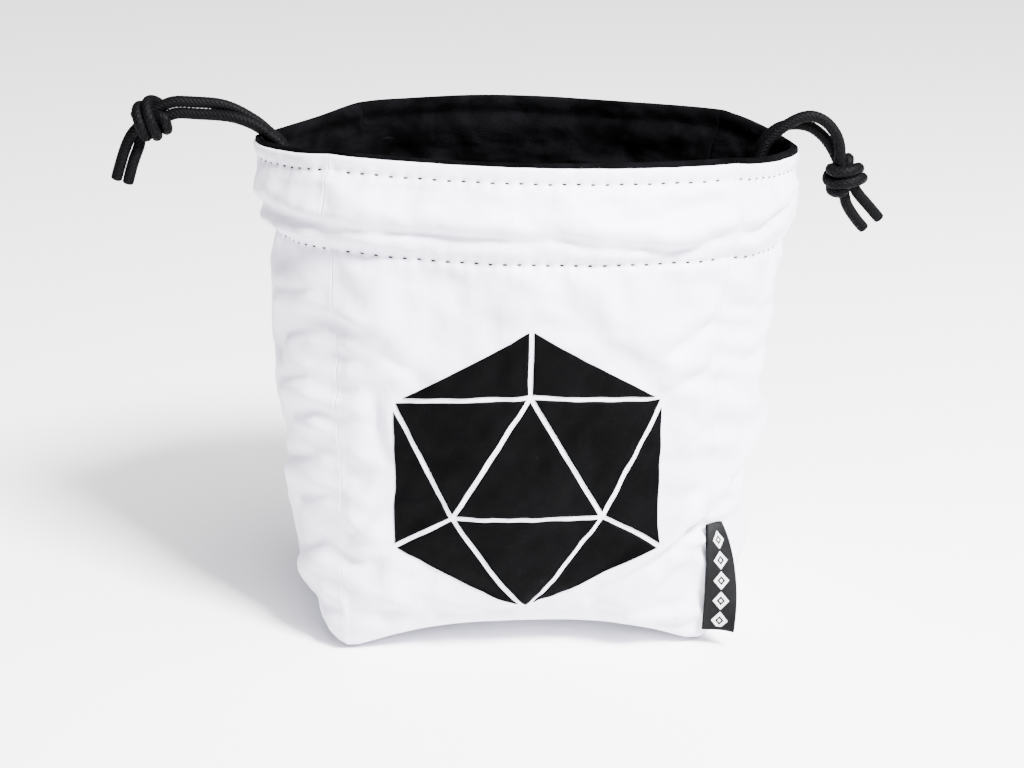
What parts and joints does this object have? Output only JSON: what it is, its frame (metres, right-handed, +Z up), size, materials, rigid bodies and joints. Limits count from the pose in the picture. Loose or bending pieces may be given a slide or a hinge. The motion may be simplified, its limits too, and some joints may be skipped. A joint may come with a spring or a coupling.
{
  "type": "drawstring dice bag",
  "caption": "Free-standing box-bottomed fabric bag with a dark soft lining, two opposed drawcords in a stitched channel, a printed polyhedral die and a woven side label.",
  "frame": {"origin": "middle of the base, on the floor", "axes": "+Z up, +X to the right across the wide mouth, the printed front panel faces -Y"},
  "size_m": [0.2298, 0.1059, 0.1606],
  "materials": {
    "satin": "white satin, soft sheen",
    "fleece": "white needled fleece stiffener, hidden",
    "velour": "black short-pile velour",
    "print": "black transfer print film",
    "thread": "black sewing thread",
    "label": "black woven tape with a white woven pattern",
    "cord": "black round braided cord"
  },
  "bodies": {
    "bag": {"outer_left": "satin", "outer_right": "satin", "outer_base": "satin", "fleece_left": "fleece", "fleece_right": "fleece", "fleece_base": "fleece", "lining_left": "velour", "lining_right": "velour", "lining_base": "velour", "rim_stitches_left": "thread", "rim_stitches_right": "thread", "channel_stitches_left": "thread", "channel_stitches_right": "thread", "left_cord_far_run": "cord", "left_cord_end_runs": "cord", "right_cord_far_run": "cord", "right_cord_end_runs": "cord"},
    "front_wall": {"outer_front": "satin", "fleece_front": "fleece", "lining_front": "velour", "printed_die": "print", "rim_stitches_front": "thread", "channel_stitches_front": "thread", "left_cord_front_run": "cord", "right_cord_front_run": "cord"},
    "back_wall": {"outer_back": "satin", "fleece_back": "fleece", "lining_back": "velour", "rim_stitches_back": "thread", "channel_stitches_back": "thread", "left_cord_back_run": "cord", "right_cord_back_run": "cord"},
    "left_cord_lead": {"left_strand_a": "cord", "left_strand_b": "cord"},
    "left_cord_end": {"left_knot": "cord", "left_tails": "cord"},
    "right_cord_lead": {"right_strand_a": "cord", "right_strand_b": "cord"},
    "right_cord_end": {"right_knot": "cord", "right_tails": "cord"},
    "label": {"woven_label": "label"}
  },
  "joints": [
    {"name": "front_wall_lean", "type": "hinge", "parent": "bag", "child": "front_wall", "pos_m": [0, -0.0395, 0.0036], "axis": [-1, 0, 0], "range_deg": [0, 9]},
    {"name": "back_wall_lean", "type": "hinge", "parent": "bag", "child": "back_wall", "pos_m": [0, 0.0395, 0.0036], "axis": [-1, 0, 0], "range_deg": [-9, 0]},
    {"name": "left_cord_swing", "type": "hinge", "parent": "bag", "child": "left_cord_lead", "pos_m": [-0.0729, 0, 0.1484], "axis": [0, -1, 0], "range_deg": [-25, 15]},
    {"name": "left_cord_pull", "type": "slide", "parent": "left_cord_lead", "child": "left_cord_end", "axis": [-1, 0, 0], "range_m": [0, 0.04], "deforming": ["left_strand_a", "left_strand_b"]},
    {"name": "right_cord_swing", "type": "hinge", "parent": "bag", "child": "right_cord_lead", "pos_m": [0.0773, 0, 0.1473], "axis": [0, 1, 0], "range_deg": [-60, 12]},
    {"name": "right_cord_pull", "type": "slide", "parent": "right_cord_lead", "child": "right_cord_end", "axis": [0.9, 0, -0.4359], "range_m": [0, 0.04], "deforming": ["right_strand_a", "right_strand_b"]},
    {"name": "label_flap", "type": "hinge", "parent": "front_wall", "child": "label", "pos_m": [0.0538, -0.045, 0.0225], "axis": [0, 0, 1], "range_deg": [-100, 0], "deforming": ["woven_label"]}
  ],
  "couplings": [
    {"joint": "back_wall_lean", "follows": "front_wall_lean", "ratio": -1},
    {"joint": "left_cord_pull", "follows": "front_wall_lean", "m_per_rad": 0.17},
    {"joint": "right_cord_pull", "follows": "front_wall_lean", "m_per_rad": 0.17}
  ]
}
